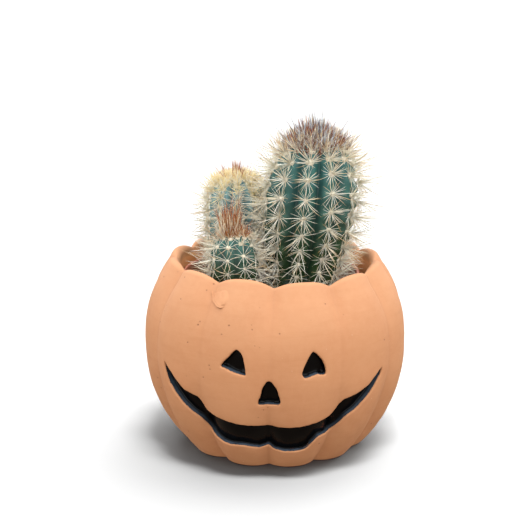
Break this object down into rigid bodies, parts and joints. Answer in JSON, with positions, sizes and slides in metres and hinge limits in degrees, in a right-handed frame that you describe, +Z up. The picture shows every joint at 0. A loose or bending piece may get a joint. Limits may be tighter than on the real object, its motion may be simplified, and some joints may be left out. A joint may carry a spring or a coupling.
{
  "type": "potted columnar cactus cluster in a jack-o'-lantern pot",
  "caption": "Cluster of ribbed, spiny columnar cacti in a plastic nursery pot, standing inside a lobed terracotta pumpkin pot with a carved and painted grinning face.",
  "frame": {"origin": "middle of the pumpkin pot's flat foot, where it rests", "axes": "+Z up through the pots and the cacti, the carved face looks along -Y, the tall stem stands on the +X side"},
  "size_m": [0.1178, 0.1176, 0.1504],
  "materials": {
    "terracotta": "matt unglazed fired clay, with gloss black paint in the carved face",
    "nursery_plastic": "thin satin moulded plastic",
    "potting_soil": "crumbly dark potting mix of bark and peat",
    "cactus_skin": "waxy matt skin with woolly areoles",
    "spines": "stiff horny spines, cream with brown tips",
    "face_paint": "gloss black paint, thick and slightly ragged at its edges"
  },
  "bodies": {
    "root": {"pumpkin_pot": "terracotta", "nursery_pot": "nursery_plastic", "soil": "potting_soil", "stem_tall": "cactus_skin", "stem_back": "cactus_skin", "stem_small": "cactus_skin"}
  },
  "joints": []
}
